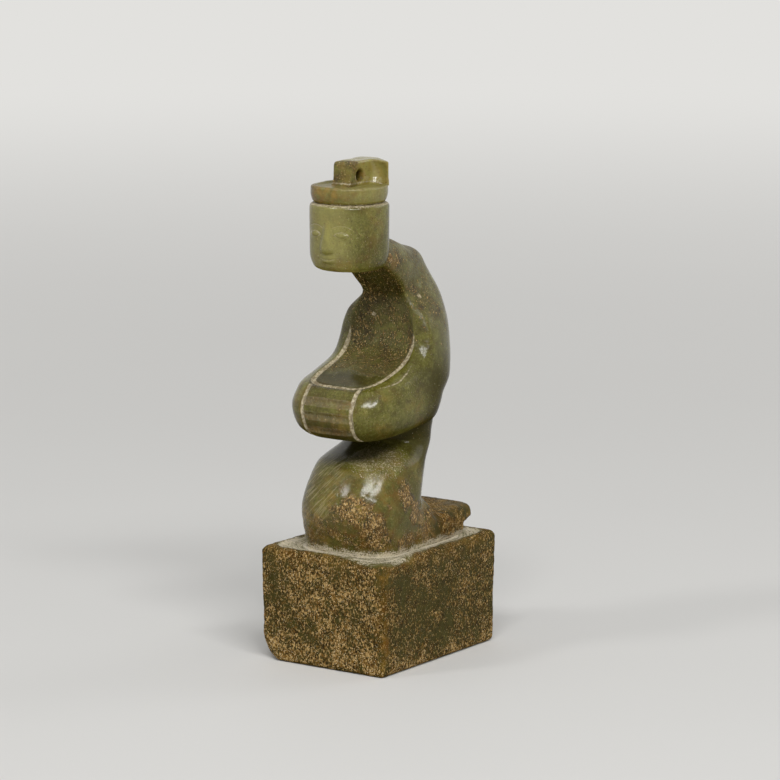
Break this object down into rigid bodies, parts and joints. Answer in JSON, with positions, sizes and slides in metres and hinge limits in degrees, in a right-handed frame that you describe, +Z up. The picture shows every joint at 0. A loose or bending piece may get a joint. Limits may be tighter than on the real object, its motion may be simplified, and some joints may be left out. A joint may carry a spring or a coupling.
{
  "type": "seal stamp",
  "caption": "Hand seal carved from green stone: an oblong block with a sunk lattice printing face, and a kneeling robed attendant with a crested cap as the handle.",
  "frame": {"origin": "middle of the sealing face, on the surface that the seal stands on", "axes": "+Z up through the block and the figure, -Y the way the figure faces, +X towards the figure's left"},
  "size_m": [0.0244, 0.032, 0.0811],
  "materials": {
    "polished_jade": "polished",
    "weathered_jade": "rough, pitted crust"
  },
  "bodies": {
    "root": {"seal_block": "weathered_jade", "seal_face": "weathered_jade", "kneeling_robe": "polished_jade", "tucked_feet": "weathered_jade", "upper_body": "polished_jade", "cuff_panel": "polished_jade", "head": "polished_jade", "cap_band": "polished_jade", "cap_crest": "polished_jade"}
  },
  "joints": []
}
